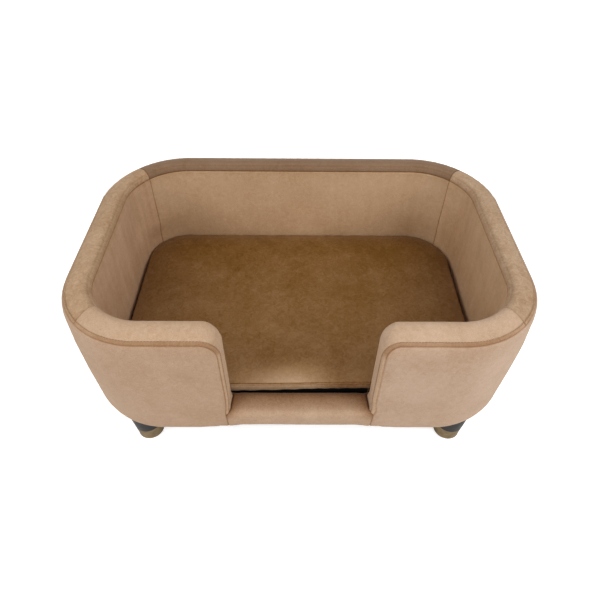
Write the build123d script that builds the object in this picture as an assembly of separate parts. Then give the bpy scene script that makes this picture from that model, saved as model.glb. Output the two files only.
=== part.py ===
from build123d import *
import math
import os

# Upholstered pet bed: a rounded padded wall on a base board, with a low entrance at the front,
# a loose boxed cushion inside and four turned legs.
# Origin on the floor under the middle, X to the right, Y to the back, Z up, millimetres.

# Overall form
BED_WIDTH = 700.0
BED_DEPTH = 467.0
BED_HEIGHT = 290.0
LEG_HEIGHT = 63.5
WALL = 42.4
BACK_CORNER_RADIUS = 142.0
FRONT_CORNER_RADIUS = 132.5
RIM_RADIUS = 12.0
FOOT_RADIUS = 25.0

# Entrance
ENTRANCE_WIDTH = 212.0
SILL_HEIGHT = 118.0
ENTRANCE_TOP_RADIUS = 28.0
SILL_CORNER_RADIUS = 8.0

# Layers of the wall
VELVET = 1.5
WADDING = 4.0
INNER_FOAM = 10.0
RIM_FOAM = 10.0
SKIN = 2.5
BOARD = 20.0
LINING = 0.8
DUST_COVER = 0.5
LAYER_GAP = 0.1

# Seams of the velvet
BAND_REACH = 5.0
SILL_PIECE_WIDTH = 226.0
SILL_PIECE_RISE = 8.0
TURN_UNDER = 38.0
DUST_COVER_LAP = 12.0

# Frame
RAIL_HEIGHT = 15.0
POST_LENGTH = 30.0
SIDE_POST_SPAN = 110.0
BACK_POST_SPAN = 260.0
SCREW_SHANK = 4.0
SCREW_HEAD = 8.0
SCREW_HEAD_DEPTH = 3.0
SCREW_RECESS = 2.5
SCREW_BITE = 32.0
FASTENER_GAP = 0.05

# Staples
STAPLE_CROWN = 10.0
STAPLE_WIRE = 0.6
STAPLE_LEG = 8.0
STAPLE_PITCH = 46.0

# Legs
LEG_INSET_X = 89.0
LEG_INSET_Y = 41.5
LEG_TOP_RADIUS = 25.6
LEG_FOOT_RADIUS = 21.4
TIP_HEIGHT = 28.0
TIP_SHEET = 1.2
TIP_CLEAR = 1.0
GLIDE_RADIUS = 19.0
GLIDE_HEIGHT = 2.0
BOLT_DIAMETER = 8.0
BOLT_DEPTH = 28.0
NUT_BARREL = 11.0
NUT_BARREL_DEPTH = 12.0
NUT_FLANGE = 20.0
NUT_FLANGE_HEIGHT = 1.5

# Cushion
CUSHION_SIDE_GAP = 6.0
CUSHION_FRONT_GAP = 4.0
CUSHION_BACK_GAP = 2.5
CUSHION_SEAM_HEIGHT = 127.0
CUSHION_CROWN = 7.0
CROWN_SHOULDER = 55.0
CUSHION_BULGE = 1.6
COVER = 1.2
UNDER_COVER = 0.8
SEAT_GAP = 0.3

# Zip in the back of the cushion
ZIP_LENGTH = 360.0
ZIP_RECESS = 6.0
ZIP_POCKET_DEPTH = 9.5
ZIP_SLOT_HEIGHT = 15.0
ZIP_TAPE_HEIGHT = 24.0
ZIP_TAPE = 0.8
ZIP_ROW_HEIGHT = 2.0
ZIP_ROW = 1.8
ZIP_SLIT = 1.4
STOP_LENGTH = 3.0
SLIDER_LENGTH = 11.0
SLIDER_HEIGHT = 9.0
SLIDER_PLATE = 0.9
SLIDER_GAP = 0.3
LUG_LENGTH = 2.4
LUG_SPAN = 3.4
LUG_POST = 0.8
HINGE_PIN = 0.8
PULL_LENGTH = 20.0
PULL_HEIGHT = 6.0
PULL_SHEET = 1.0
PULL_BARREL = 2.0
PULL_PLAY = 0.1

OVERRUN = 20.0

# Levels and lines that follow
underside = LEG_HEIGHT + DUST_COVER
foam_inset = VELVET + LAYER_GAP
board_bottom = underside + foam_inset
board_top = board_bottom + BOARD
floor_level = board_top + LAYER_GAP
outer_core_inset = foam_inset + WADDING + LAYER_GAP
inner_core_inset = foam_inset + INNER_FOAM + LAYER_GAP
rim_core_inset = foam_inset + RIM_FOAM + LAYER_GAP
rail_outer_inset = outer_core_inset + SKIN + LAYER_GAP
rail_inner_inset = WALL - inner_core_inset - SKIN - LAYER_GAP
rail_top = BED_HEIGHT - rim_core_inset
rail_bottom = rail_top - RAIL_HEIGHT
post_inset = (rail_outer_inset + rail_inner_inset) / 2
entrance_post_x = ENTRANCE_WIDTH / 2 + rim_core_inset + POST_LENGTH / 2
back_corner_x = BED_WIDTH / 2 - BACK_CORNER_RADIUS
back_corner_y = BED_DEPTH / 2 - BACK_CORNER_RADIUS
front_corner_x = BED_WIDTH / 2 - FRONT_CORNER_RADIUS
front_corner_y = FRONT_CORNER_RADIUS - BED_DEPTH / 2
sides = {"left": -1, "right": 1}

# Places of the legs, the cushion and the zip
leg_x = BED_WIDTH / 2 - LEG_INSET_X
leg_y = BED_DEPTH / 2 - LEG_INSET_Y
leg_rows = {"front": -leg_y, "back": leg_y}
bolt_hole = BOLT_DIAMETER / 2 + FASTENER_GAP
leg_places = [(sign * leg_x, y) for y in leg_rows.values() for sign in sides.values()]
cover_out = COVER + LAYER_GAP
seat_level = floor_level + LINING + SEAT_GAP
zip_level = (seat_level + CUSHION_SEAM_HEIGHT) / 2
cushion_back = BED_DEPTH / 2 - WALL - CUSHION_BACK_GAP
zip_y = cushion_back - ZIP_RECESS
slider_x = ZIP_LENGTH / 2 - STOP_LENGTH - SLIDER_LENGTH / 2 - SLIDER_GAP
slider_face = zip_y + ZIP_ROW / 2 + SLIDER_GAP + SLIDER_PLATE
pin_y = slider_face + PULL_BARREL / 2 + SLIDER_GAP


def outline(inset):
    """The plan of the bed, drawn in by an inset."""
    sheet = Rectangle(BED_WIDTH - 2 * inset, BED_DEPTH - 2 * inset)
    front = sheet.vertices().group_by(Axis.Y)[0]
    sheet = fillet(front, FRONT_CORNER_RADIUS - inset)
    back = sheet.vertices().group_by(Axis.Y)[-1]
    return fillet(back, BACK_CORNER_RADIUS - inset)


def prism(sheet, low, high):
    """A plan drawn up from one level to another."""
    return extrude(Pos(0, 0, low) * sheet, high - low)


def ring(outer_inset, inner_inset, low, high):
    """A stretch of wall between two insets of the plan."""
    return prism(outline(outer_inset), low, high) - prism(outline(inner_inset), low, high)


def block(width, depth, low, high, x=0, y=0):
    """An upright block centred on a point of the plan."""
    return prism(Pos(x, y) * Rectangle(width, depth), low, high)


def entrance_tool(inset):
    """What the entrance takes out of the front wall, widened by an inset."""
    half = ENTRANCE_WIDTH / 2 + inset
    sill = SILL_HEIGHT - inset
    top = BED_HEIGHT - inset
    wide = half + ENTRANCE_TOP_RADIUS + OVERRUN
    high = BED_HEIGHT + OVERRUN
    points = [
        (-half, sill), (half, sill), (half, top), (wide, top),
        (wide, high), (-wide, high), (-wide, top), (-half, top),
    ]
    sheet = make_face(Polyline(points, close=True))
    inner = sheet.vertices().filter_by(lambda v: abs(v.X) < half + LAYER_GAP)
    sheet = fillet(inner.filter_by(lambda v: v.Y > SILL_HEIGHT), ENTRANCE_TOP_RADIUS - inset)
    sheet = fillet(sheet.vertices().group_by(Axis.Y)[0], SILL_CORNER_RADIUS + inset)
    front = Plane.XZ.offset(BED_DEPTH / 2 + OVERRUN)
    return extrude(front * sheet, -(WALL + 2 * OVERRUN))


def rim_edges(solid, inset):
    """The edges that run along the rim and round the entrance, outside and inside."""
    wide = ENTRANCE_WIDTH / 2 + ENTRANCE_TOP_RADIUS + LAYER_GAP
    found = []
    for edge in solid.edges():
        box = edge.bounding_box()
        at_entrance = max(abs(box.min.X), abs(box.max.X)) < wide and box.max.Y < 0
        across = box.size.Y > LAYER_GAP
        level = SILL_HEIGHT if at_entrance else BED_HEIGHT
        if box.min.Z > level - inset - LAYER_GAP and not (at_entrance and across):
            found.append(edge)
    return found


def bed_solid(inset):
    """Wall and floor as one rounded solid, drawn in by an inset."""
    bottom = underside + inset
    solid = prism(outline(inset), bottom, BED_HEIGHT - inset)
    solid -= prism(outline(WALL - inset), floor_level, BED_HEIGHT)
    solid -= entrance_tool(inset)
    foot = solid.edges().filter_by(lambda e: e.bounding_box().max.Z < bottom + LAYER_GAP)
    solid = fillet(foot, FOOT_RADIUS - inset)
    return fillet(rim_edges(solid, inset), RIM_RADIUS - inset)


def fan(corner_x, corner_y, direction):
    """All that lies between the two mitres of the back or the front."""
    far_x = corner_x + BED_WIDTH
    far_y = corner_y + direction * BED_WIDTH
    points = [(-corner_x, corner_y), (corner_x, corner_y), (far_x, far_y), (-far_x, far_y)]
    return prism(make_face(Polyline(points, close=True)), 0, BED_HEIGHT + OVERRUN)


def half_space(sign):
    """All that lies on one side of the middle."""
    return block(BED_WIDTH, 2 * BED_DEPTH, 0, BED_HEIGHT + OVERRUN, sign * BED_WIDTH / 2)


back_zone = fan(back_corner_x, back_corner_y, 1)
front_zone = fan(front_corner_x, front_corner_y, -1)
inner_zone = prism(outline(WALL / 2), floor_level - BOARD / 2, BED_HEIGHT + OVERRUN)
sill_zone = block(
    SILL_PIECE_WIDTH, 2 * (WALL + OVERRUN), 0, SILL_HEIGHT + SILL_PIECE_RISE, 0, -BED_DEPTH / 2
)
side_zones = {side: half_space(sign) - back_zone for side, sign in sides.items()}


def below_rim(inset):
    """The stretch of wall that is further than an inset from rim and entrance."""
    tall = block(2 * BED_WIDTH, 2 * BED_DEPTH, 0, BED_HEIGHT - inset)
    return tall - entrance_tool(inset)


def three_panels(name, layer):
    """A layer cut at the mitres of the back corners."""
    pieces = {name + "_back": layer & back_zone}
    for side, zone in side_zones.items():
        pieces[name + "_" + side] = layer & zone
    return pieces


def velvet_pieces():
    """The sewn velvet: outer and inner panels, the sill piece and the mitred band."""
    layer = bed_solid(0) - bed_solid(VELVET)
    layer -= prism(outline(TURN_UNDER), LEG_HEIGHT, board_bottom)
    pieces = {"sill_panel": layer & sill_zone}
    layer -= sill_zone
    panels = layer & below_rim(BAND_REACH)
    pieces |= three_panels("outer_panel", panels - inner_zone)
    pieces |= three_panels("inner_panel", panels & inner_zone)
    band = layer - below_rim(BAND_REACH)
    pieces["band_back"] = band & back_zone
    for side, zone in side_zones.items():
        pieces["band_" + side] = band & (zone - front_zone)
        pieces["band_front_" + side] = band & zone & front_zone
    return pieces


def padding_pieces():
    """Wadding outside, foam inside, over the rim and round the sill."""
    core_outer = foam_inset + WADDING
    core_inner = foam_inset + INNER_FOAM
    core_rim = foam_inset + RIM_FOAM
    core = ring(core_outer, WALL - core_inner, board_bottom, BED_HEIGHT) & below_rim(core_rim)
    layer = bed_solid(foam_inset) - core - board_solid(LAYER_GAP)
    pieces = {"sill_foam": layer & sill_zone}
    layer -= sill_zone
    pieces |= three_panels("rim_foam", layer - below_rim(core_rim))
    walls = layer & below_rim(core_rim)
    pieces |= three_panels("wadding", walls - inner_zone)
    pieces |= three_panels("inner_foam", walls & inner_zone)
    return pieces


def board_solid(grow):
    """The base board with its rounded lower edge, or the room that it needs."""
    solid = prism(outline(outer_core_inset - grow), board_bottom, board_top + grow)
    return fillet(solid.faces().sort_by(Axis.Z)[0].edges(), FOOT_RADIUS - outer_core_inset + grow)


def post_places():
    """Centre and turn of each post of the wall frame."""
    places = []
    mid_y = (back_corner_y + front_corner_y) / 2
    for sign in sides.values():
        places.append((sign * entrance_post_x, post_inset - BED_DEPTH / 2, 0))
        for step in (-1, 1):
            places.append((sign * (BED_WIDTH / 2 - post_inset), mid_y + step * SIDE_POST_SPAN / 2, 90))
        back = (BACK_CORNER_RADIUS - post_inset) * math.sqrt(0.5)
        places.append((sign * (back_corner_x + back), back_corner_y + back, -sign * 45))
        front = (FRONT_CORNER_RADIUS - post_inset) * math.sqrt(0.5)
        places.append((sign * (front_corner_x + front), front_corner_y - front, sign * 45))
    for step in (-1, 0, 1):
        places.append((step * BACK_POST_SPAN / 2, BED_DEPTH / 2 - post_inset, 0))
    return places


def group(solids):
    """Several solids kept apart in one node."""
    return Compound(children=[s for member in solids for s in member.solids()])


def upright(radius, low, high, x=0, y=0):
    """An upright cylinder between two levels."""
    return prism(Pos(x, y) * Circle(radius), low, high)


def turned(points):
    """A round piece from its half profile."""
    return revolve(Plane.XZ * make_face(Polyline(points, close=True)), Axis.Z)


def screw(x, y, grow):
    """A countersunk screw up through the base board, or its hole with the recess below."""
    head = board_bottom + SCREW_RECESS
    neck = head + SCREW_HEAD_DEPTH
    top = floor_level + SCREW_BITE + grow
    wide = SCREW_HEAD / 2 + grow
    thin = SCREW_SHANK / 2 + grow
    low = board_bottom - SCREW_RECESS
    foot = [(0, low), (wide, low)] if grow else [(0, head)]
    profile = foot + [(wide, head), (thin, neck), (thin, top), (0, top)]
    inwards = math.degrees(math.atan2(-y, -x))
    return Pos(x, y) * Rot(0, 0, inwards) * turned(profile)


def leg_radius(level):
    """The leg's outside at a level."""
    share = level / LEG_HEIGHT
    return LEG_FOOT_RADIUS + share * (LEG_TOP_RADIUS - LEG_FOOT_RADIUS)


def leg_wood():
    """The tapered leg with a thinner foot inside the tip and a bore for the bolt."""
    foot = GLIDE_HEIGHT + TIP_SHEET + LAYER_GAP
    shoulder = TIP_HEIGHT + LAYER_GAP
    sleeve = TIP_SHEET + LAYER_GAP
    bore_end = LEG_HEIGHT - BOLT_DEPTH - FASTENER_GAP
    return turned([
        (0, foot), (leg_radius(foot) - sleeve, foot), (leg_radius(TIP_HEIGHT) - sleeve, shoulder),
        (leg_radius(shoulder), shoulder), (LEG_TOP_RADIUS, LEG_HEIGHT), (bolt_hole, LEG_HEIGHT),
        (bolt_hole, bore_end), (0, bore_end),
    ])


def leg_tip():
    """The brass cup round the foot of a leg."""
    base = GLIDE_HEIGHT + TIP_SHEET
    recess = GLIDE_RADIUS + LAYER_GAP
    return turned([
        (0, GLIDE_HEIGHT), (recess, GLIDE_HEIGHT), (recess, TIP_CLEAR),
        (leg_radius(TIP_CLEAR), TIP_CLEAR), (leg_radius(TIP_HEIGHT), TIP_HEIGHT),
        (leg_radius(TIP_HEIGHT) - TIP_SHEET, TIP_HEIGHT), (leg_radius(base) - TIP_SHEET, base),
        (0, base),
    ])


def leg_nut(grow):
    """The flanged nut let into the top of the base board, or its recess."""
    barrel = NUT_BARREL / 2 + grow
    flange = NUT_FLANGE / 2 + grow
    solid = upright(barrel, board_top - NUT_BARREL_DEPTH - grow, board_top + grow)
    return solid + upright(flange, board_top - NUT_FLANGE_HEIGHT - grow, board_top + grow)


def leg_pieces():
    """Legs with their tips and glides, and the fasteners that hold them."""
    bolt = upright(BOLT_DIAMETER / 2, LEG_HEIGHT - BOLT_DEPTH, board_top)
    nut = leg_nut(0) - upright(bolt_hole, underside, board_top)
    pieces = {}
    for row, y in leg_rows.items():
        for side, sign in sides.items():
            place = Pos(sign * leg_x, y)
            pieces[f"leg_{row}_{side}"] = place * leg_wood()
            pieces[f"leg_tip_{row}_{side}"] = place * leg_tip()
            pieces[f"glide_{row}_{side}"] = place * upright(GLIDE_RADIUS, 0, GLIDE_HEIGHT)
    pieces["leg_bolts"] = group([Pos(x, y) * bolt for x, y in leg_places])
    pieces["leg_nuts"] = group([Pos(x, y) * nut for x, y in leg_places])
    return pieces


def staple_places():
    """Centre and turn of each staple along the turned-under velvet, clear of the legs."""
    line = outline(TURN_UNDER - DUST_COVER_LAP / 2).face().outer_wire()
    count = round(line.length / STAPLE_PITCH)
    places = []
    for step in range(count):
        point = line.position_at(step / count)
        along = line.tangent_at(step / count)
        reach = min(math.dist((point.X, point.Y), place) for place in leg_places)
        if reach > LEG_TOP_RADIUS + STAPLE_CROWN:
            places.append((point.X, point.Y, math.degrees(math.atan2(along.Y, along.X))))
    return places


def staple():
    """One staple: a crown under the dust cover and two legs up into the base board."""
    solid = block(STAPLE_CROWN, STAPLE_WIRE, LEG_HEIGHT - STAPLE_WIRE, LEG_HEIGHT)
    for step in (-1, 1):
        x = step * (STAPLE_CROWN - STAPLE_WIRE) / 2
        solid += block(STAPLE_WIRE, STAPLE_WIRE, LEG_HEIGHT - STAPLE_WIRE, LEG_HEIGHT + STAPLE_LEG, x)
    return solid


def frame_pieces():
    """Base board, rails, posts, bent skins and the sill rail."""
    reach = SILL_HEIGHT - rim_core_inset
    depth = rail_inner_inset + SKIN - outer_core_inset
    opening = ENTRANCE_WIDTH + 2 * rim_core_inset
    sill_y = (outer_core_inset + rail_inner_inset + SKIN) / 2 - BED_DEPTH / 2
    walls = below_rim(rim_core_inset)
    walls -= block(opening + 2 * LAYER_GAP, 2 * (WALL + OVERRUN), 0, BED_HEIGHT, 0, -BED_DEPTH / 2)
    outer = ring(outer_core_inset, outer_core_inset + SKIN, floor_level, rail_top) & walls
    inner = ring(rail_inner_inset + LAYER_GAP, WALL - inner_core_inset, floor_level, rail_top) & walls
    rails = ring(rail_outer_inset, rail_inner_inset, rail_bottom, rail_top) & walls
    room = ring(rail_outer_inset, rail_inner_inset, floor_level, rail_bottom - LAYER_GAP) & walls
    posts = []
    for x, y, turn in post_places():
        post = Pos(x, y) * Rot(0, 0, turn) * block(POST_LENGTH, WALL, 0, BED_HEIGHT)
        posts.append((room & post) - screw(x, y, FASTENER_GAP))
    pieces = {"sill_rail": block(opening, depth, floor_level, reach, 0, sill_y)}
    pieces |= three_panels("outer_skin", outer)
    pieces |= three_panels("inner_skin", inner)
    pieces |= three_panels("top_rail", rails)
    pieces["wall_posts"] = group(posts)
    pieces["frame_screws"] = group([screw(x, y, 0) for x, y, turn in post_places()])
    return pieces


def base_pieces(staples):
    """Base board with its holes, lining above and dust cover below."""
    board = board_solid(0)
    cover = prism(outline(TURN_UNDER - DUST_COVER_LAP), LEG_HEIGHT, underside)
    lining = prism(outline(WALL + LAYER_GAP), floor_level, floor_level + LINING)
    for x, y, turn in post_places():
        board -= screw(x, y, FASTENER_GAP)
    for x, y in leg_places:
        board -= Pos(x, y) * leg_nut(FASTENER_GAP)
        board -= upright(bolt_hole, board_bottom, board_top, x, y)
        cover -= upright(bolt_hole, LEG_HEIGHT, underside, x, y)
    return {"base_board": board - staples, "dust_cover": cover - staples, "floor_lining": lining}


def cushion_plan(grow):
    """The plan of the cushion's foam, let out by an amount."""
    low = WALL + CUSHION_FRONT_GAP + cover_out - BED_DEPTH / 2
    high = BED_DEPTH / 2 - WALL - CUSHION_BACK_GAP - cover_out
    inset = WALL + CUSHION_SIDE_GAP + cover_out
    sheet = Rectangle(BED_WIDTH - 2 * (inset - grow), high - low + 2 * grow)
    sheet = fillet(sheet.vertices().group_by(Axis.Y)[0], FRONT_CORNER_RADIUS - inset + grow)
    sheet = fillet(sheet.vertices().group_by(Axis.Y)[-1], BACK_CORNER_RADIUS - inset + grow)
    return Pos(0, (low + high) / 2) * sheet


def cushion_side(grow, low, high):
    """The cushion between its two seams, drawn in at both."""
    half = (high - low) / 2
    slope = math.degrees(math.atan(CUSHION_BULGE / half))
    middle = low + half
    upper = extrude(Pos(0, 0, middle) * cushion_plan(grow), half, taper=slope)
    return upper + mirror(upper, Plane.XY.offset(middle))


def cushion_crown(grow):
    """The crowned top above the upper seam, rounded down towards its edge all round."""
    edge = grow - CUSHION_BULGE
    top = CUSHION_SEAM_HEIGHT + CUSHION_CROWN + grow
    radius = (CROWN_SHOULDER**2 + CUSHION_CROWN**2) / (2 * CUSHION_CROWN)
    low = top - 2 * radius
    dome = prism(cushion_plan(edge + radius - CROWN_SHOULDER), low, top)
    dome = fillet(dome.faces().sort_by(Axis.Z)[-1].edges(), radius)
    return dome & prism(cushion_plan(edge), CUSHION_SEAM_HEIGHT, top)


def cushion_pieces():
    """Foam, crowned top cover, boxing and the cover's underside."""
    low = seat_level + UNDER_COVER + LAYER_GAP
    pocket_y = zip_y + ZIP_POCKET_DEPTH / 2 - (ZIP_POCKET_DEPTH - ZIP_RECESS)
    tape_room = ZIP_TAPE_HEIGHT + 2 * LAYER_GAP
    pocket = block(
        ZIP_LENGTH + 2 * LAYER_GAP, ZIP_POCKET_DEPTH + 2 * cover_out,
        zip_level - tape_room / 2, zip_level + tape_room / 2, 0, pocket_y,
    )
    slot = block(
        ZIP_LENGTH, 2 * ZIP_RECESS, zip_level - ZIP_SLOT_HEIGHT / 2,
        zip_level + ZIP_SLOT_HEIGHT / 2, 0, cushion_back,
    )
    foam = cushion_side(0, low, CUSHION_SEAM_HEIGHT) + cushion_crown(0)
    boxing = cushion_side(cover_out, low, CUSHION_SEAM_HEIGHT)
    boxing -= cushion_side(LAYER_GAP, low, CUSHION_SEAM_HEIGHT)
    under = prism(cushion_plan(cover_out - CUSHION_BULGE), seat_level, seat_level + UNDER_COVER)
    return {
        "cushion_foam": foam - pocket,
        "cushion_top": cushion_crown(cover_out) - cushion_crown(LAYER_GAP),
        "cushion_boxing": boxing - slot,
        "cushion_underside": under,
    }


def strip(length, depth, height, x, y, z):
    """A straight strip centred on a point."""
    return Pos(x, y, z) * Box(length, depth, height)


def zip_pieces():
    """Tapes, two rows of teeth with their end stops, the slider and its pull."""
    row_z = (ZIP_SLIT + ZIP_ROW_HEIGHT) / 2
    tape_height = ZIP_TAPE_HEIGHT / 2 - ZIP_SLIT / 2 - ZIP_ROW_HEIGHT
    tape_z = (ZIP_TAPE_HEIGHT - tape_height) / 2
    stop_x = (ZIP_LENGTH - STOP_LENGTH) / 2
    tapes, teeth = [], []
    for step in (-1, 1):
        tapes.append(strip(ZIP_LENGTH, ZIP_TAPE, tape_height, 0, zip_y, zip_level + step * tape_z))
        teeth.append(strip(ZIP_LENGTH, ZIP_ROW, ZIP_ROW_HEIGHT, 0, zip_y, zip_level + step * row_z))
        teeth.append(strip(STOP_LENGTH, ZIP_ROW, ZIP_SLIT, step * stop_x, zip_y, zip_level))
    return {
        "zip_tapes": group(tapes),
        "zip_teeth": teeth[0] + teeth[1] + teeth[2] + teeth[3],
        "zip_slider": zip_slider(),
        "zip_pull": zip_pull(),
    }


def zip_slider():
    """Two plates over the teeth, a web between the rows and a bridge with the pull's pin."""
    plate_y = ZIP_ROW / 2 + SLIDER_GAP + SLIDER_PLATE / 2
    web = 2 * plate_y
    solid = strip(SLIDER_LENGTH, web, ZIP_SLIT - 2 * SLIDER_GAP, slider_x, zip_y, zip_level)
    for step in (-1, 1):
        solid += strip(
            SLIDER_LENGTH, SLIDER_PLATE, SLIDER_HEIGHT, slider_x, zip_y + step * plate_y, zip_level
        )
    post_reach = pin_y + HINGE_PIN / 2 - slider_face
    for step in (-1, 1):
        z = zip_level + step * (LUG_SPAN + LUG_POST) / 2
        solid += strip(LUG_LENGTH, post_reach, LUG_POST, slider_x, slider_face + post_reach / 2, z)
    pin = Cylinder(HINGE_PIN / 2, LUG_SPAN + LUG_POST)
    return solid + Pos(slider_x, pin_y, zip_level) * pin


def zip_pull():
    """A flat tab on a barrel round the slider's pin."""
    barrel_height = LUG_SPAN - 2 * SLIDER_GAP
    neck = LUG_LENGTH / 2 + SLIDER_GAP + PULL_BARREL / 2
    solid = Pos(slider_x, pin_y, zip_level) * Cylinder(PULL_BARREL / 2, barrel_height)
    solid += strip(neck, PULL_SHEET, barrel_height, slider_x - neck / 2, pin_y, zip_level)
    tab = PULL_LENGTH - neck
    solid += strip(tab, PULL_SHEET, PULL_HEIGHT, slider_x - neck - tab / 2, pin_y, zip_level)
    bore = Cylinder(HINGE_PIN / 2 + PULL_PLAY, barrel_height)
    return solid - Pos(slider_x, pin_y, zip_level) * bore


def all_pieces():
    """Every piece of the bed under its name."""
    staples = group([Pos(x, y) * Rot(0, 0, turn) * staple() for x, y, turn in staple_places()])
    bolt_holes = group([upright(bolt_hole, 0, board_bottom, x, y) for x, y in leg_places])
    pieces = velvet_pieces()
    for name in ("sill_panel", "outer_panel_back", "outer_panel_left", "outer_panel_right"):
        pieces[name] = pieces[name] - staples - bolt_holes
    pieces |= padding_pieces() | frame_pieces() | base_pieces(staples)
    pieces |= leg_pieces() | cushion_pieces() | zip_pieces()
    pieces["staples"] = staples
    return pieces


os.makedirs("parts", exist_ok=True)
for name, piece in all_pieces().items():
    export_step(piece, f"parts/{name}.step")
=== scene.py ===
import math

import bpy
import numpy as np
from mathutils import Matrix, Vector, kdtree, noise


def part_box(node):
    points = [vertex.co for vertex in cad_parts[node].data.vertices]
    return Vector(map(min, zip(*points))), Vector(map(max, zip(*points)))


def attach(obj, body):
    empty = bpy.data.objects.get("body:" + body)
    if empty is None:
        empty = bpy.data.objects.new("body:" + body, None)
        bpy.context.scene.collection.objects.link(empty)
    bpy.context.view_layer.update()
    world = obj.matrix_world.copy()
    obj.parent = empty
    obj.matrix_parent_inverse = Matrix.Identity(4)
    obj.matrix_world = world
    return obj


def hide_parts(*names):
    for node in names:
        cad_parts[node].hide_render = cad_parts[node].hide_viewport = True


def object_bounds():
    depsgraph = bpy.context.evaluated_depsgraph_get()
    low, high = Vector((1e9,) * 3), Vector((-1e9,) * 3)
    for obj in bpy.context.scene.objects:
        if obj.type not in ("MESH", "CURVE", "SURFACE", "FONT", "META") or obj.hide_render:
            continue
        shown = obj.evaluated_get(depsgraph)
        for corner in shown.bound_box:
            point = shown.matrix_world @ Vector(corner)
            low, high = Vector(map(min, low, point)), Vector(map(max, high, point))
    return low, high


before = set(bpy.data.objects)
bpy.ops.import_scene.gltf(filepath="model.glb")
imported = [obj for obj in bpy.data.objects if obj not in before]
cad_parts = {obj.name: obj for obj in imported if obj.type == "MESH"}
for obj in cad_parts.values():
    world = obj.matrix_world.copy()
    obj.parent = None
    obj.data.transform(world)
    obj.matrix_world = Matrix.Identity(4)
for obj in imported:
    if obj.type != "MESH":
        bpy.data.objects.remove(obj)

cad_low, cad_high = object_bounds()

# Upholstered pet bed in velvet. Metres, origin on the floor under its middle, front towards -Y.

# Wall, from the frame and the sizes that its boxes don't give
HALF_WIDTH = cad_high.x
HALF_DEPTH = cad_high.y
HEIGHT = cad_high.z
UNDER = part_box("outer_panel_back")[0].z
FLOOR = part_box("floor_lining")[1].z
WALL = 0.0424
BACK_RADIUS = 0.142
FRONT_RADIUS = 0.1325
RIM = 0.012
FOOT = 0.025
TURN_UNDER = 0.038

# Entrance
ENTRANCE = 0.106
SILL = 0.118
TOP_ARC = 0.028
SILL_ARC = 0.008
SILL_END = 0.113

# Seams and rows of topstitching, by their distance from the edge
SEAM = 0.005
INNER_SEAM = 0.0105
JAMB_SEAM = {"left": 0.0048, "right": 0.0085}
OUTER_STITCH = 0.0074
INNER_STITCH = 0.0088

# One stitch: a bowed thread, and the rings of points that draw it
STITCH_PITCH = 0.0042
STITCH_LENGTH = 0.0033
STITCH_RADIUS = 0.00036
STITCH_BOW = 0.0005
STITCH_SINK = 0.0006
STITCH_RINGS = 5
STITCH_SIDES = 6

# Spacing of the grids and of the points along a line
STEP = 0.0036
FINE = 0.0008
FINE_ZONE = 0.009
GROWTH = 0.3
BAND_STEP = 0.002
LINE_STEP = 0.0006

# Swelling of the band across its width, at the rim and beside the entrance
RIM_AT = (0, 0.005, 0.010, 0.015, 0.022, 0.030, 0.036, 0.0411, 0.0471)
RIM_SWELL = (-0.0030, -0.0032, -0.0020, 0.0002, 0.0026, 0.0040, 0.0040, 0.0032, 0.0018)
FRONT_SWELL = (0.0, 0.0, 0.0004, 0.0012, 0.0022, 0.0026, 0.0022, 0.0010, 0.0)
JAMB_SWELL = {
    "left": (0.0004, 0.0001, -0.0010, -0.0022, -0.0030, -0.0028, -0.0020, -0.0012, 0.0),
    "right": (0.0004, 0.0, -0.0014, -0.0034, -0.0044, -0.0044, -0.0034, -0.0022, 0.0),
}

# Swelling of the panels, by distance from their rim
OUTER_AT = (0, 0.006, 0.014, 0.03, 0.06, 0.12, 0.19)
OUTER_FULL = {"back": 0.0004, "side": 0.0020}
INNER_AT = (0, 0.012, 0.06, 0.13)
INNER_FULL = {"back": (0.0014, 0.0006), "side": (0.0026, 0.0010)}

# Thickness of the sewn pieces and their relief
PAD = 0.0035
SEAM_DIP = 0.0009
SEAM_WIDTH = 0.0011
STITCH_DIP = 0.0006
STITCH_WIDTH = 0.0010
STITCH_RIPPLE = 1570
GATHER = 0.00022
GATHER_REACH = 0.009
GATHER_START = 0.0015
SLOW_WAVE = 0.0005
FINE_WAVE = 0.00014

# Tones of the wall's velvet: painted shade in the seam and stitch grooves and in the strip outside
# the stitching, where the pile also lies the other way; streaks of the pile; painted sheen on the
# front corners; painted shade on the sill
GROOVE = 0.0008
SEAM_DARK = 0.42
JAMB_DARK = 0.20
STITCH_DARK = (0.30, 0.14)
STRIP_DARK = 0.06
FRONT_STRIP_DARK = 0.34
STREAKS = {"back": 0.028, "side": 0.075}
# Painted sheen towards the front corners of the outer panels.
PAINTED_CORNER_SHEEN = {"left": 0.07, "right": 0.12}
# Painted shade across the sill's top, darker towards the inside.
SILL_TONE_AT = (0, 0.12, 0.45, 0.8, 1)
SILL_TONE = (0.0, 0.03, 0.28, 0.50, 0.66)

# Cushion, as it lies in the photograph
CUSHION_FRONT = 0.084
CUSHION_BACK_LEFT = 0.072
CUSHION_BACK_RIGHT = 0.080
RIGHT_SLACK = 0.003
# The black base turns up higher along the front, where it also stands in for the shade of the gap
# under the boxing.
SPLIT_FRONT = 0.1070
SPLIT_BACK = 0.0035
SECOND_SEAM = 0.0034
CUSHION_STEP = 0.006
CORNER_PLACES = 15
FIELD_STEPS = 64
FIELD_REACH = 0.045
VOXEL = 0.005
CLOTH_FRAMES = 20
CLOTH = {
    "use_pressure": True, "uniform_pressure_force": 4.0, "quality": 5,
    "tension_stiffness": 15, "compression_stiffness": 5, "bending_stiffness": 0.2,
}
MOST_SWELL = 0.0035
ZIP_Z = (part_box("zip_tapes")[0].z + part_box("zip_tapes")[1].z) / 2
BOXING_SHARES = np.array((
    0, 0.04, 0.12, 0.23, 0.245, 0.26, 0.45, 0.64, 0.655, 0.67, 0.74,
    0.78, 0.80, 0.815, 0.83, 0.845, 0.86, 0.88, 0.92, 0.95, 0.98, 1,
))
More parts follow.
